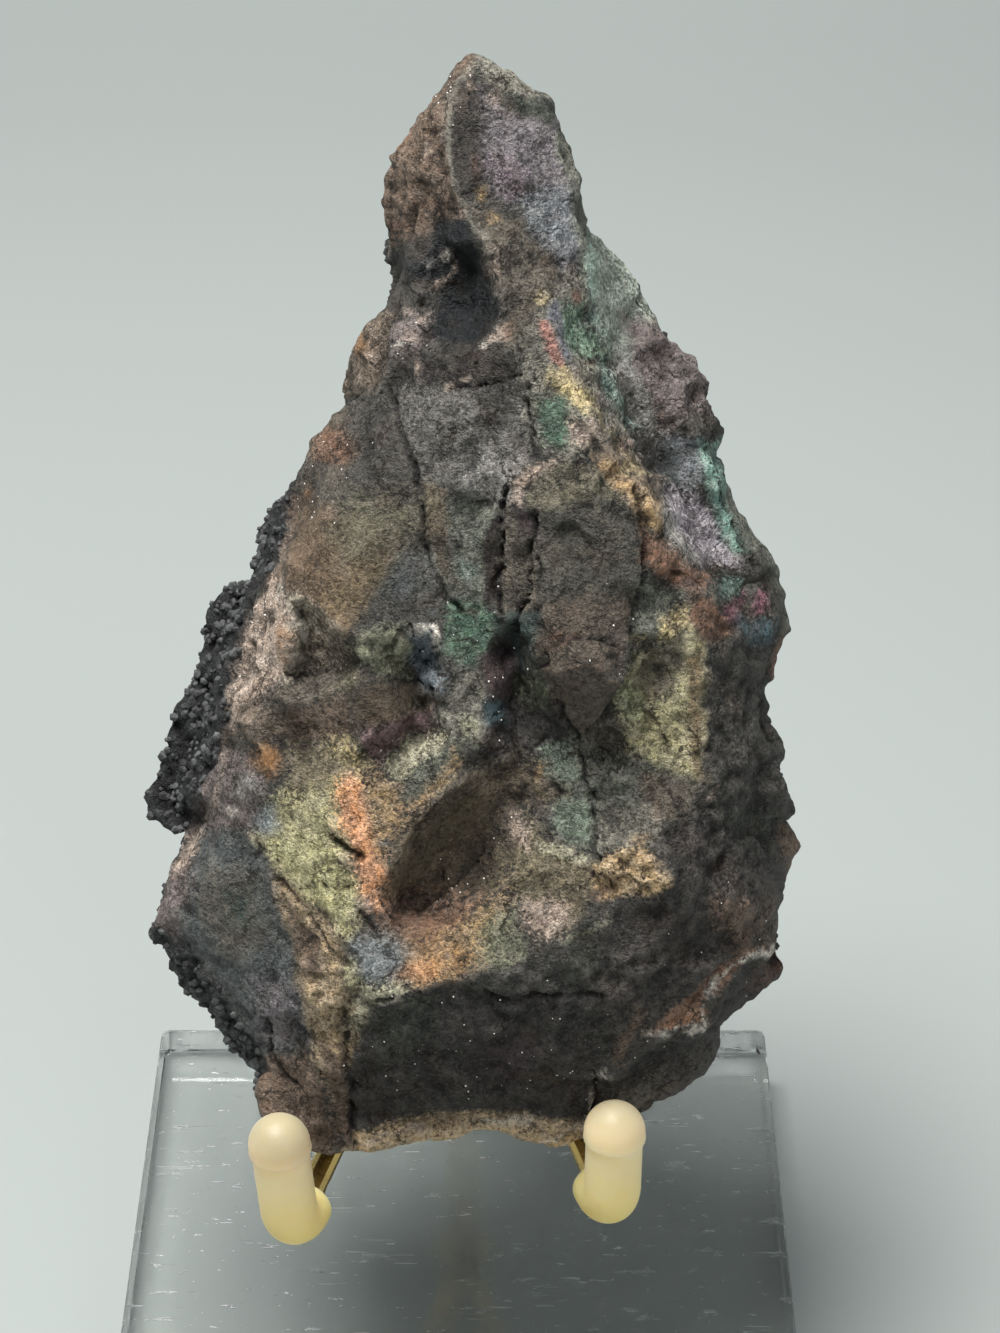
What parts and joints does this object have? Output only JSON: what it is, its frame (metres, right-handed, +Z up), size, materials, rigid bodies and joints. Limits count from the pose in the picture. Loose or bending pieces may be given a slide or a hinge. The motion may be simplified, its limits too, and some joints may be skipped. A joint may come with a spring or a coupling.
{
  "type": "mineral specimen on display stand",
  "caption": "Pear-shaped iridescent limonite slab with a ridged, hollowed face, leaning on sleeved brass prongs and a capped post over a clear acrylic base.",
  "frame": {"origin": "centre of the acrylic base's underside, on the surface that the stand rests on", "axes": "+Z up; +Y from the stone's face towards the post behind it, so the face looks towards -Y; +X to the right seen from the front"},
  "size_m": [0.07, 0.0739, 0.1322],
  "materials": {
    "limonite": "rough broken stone, dark brown-grey with iridescent and ochre patches",
    "acrylic": "clear, polished, lightly scratched",
    "brass": "polished",
    "silicone": "milky, translucent, satin"
  },
  "bodies": {
    "root": {"limonite": "limonite", "acrylic_base": "acrylic", "brass_frame": "brass", "sleeve_left": "silicone", "sleeve_right": "silicone", "post_cap": "silicone"}
  },
  "joints": []
}
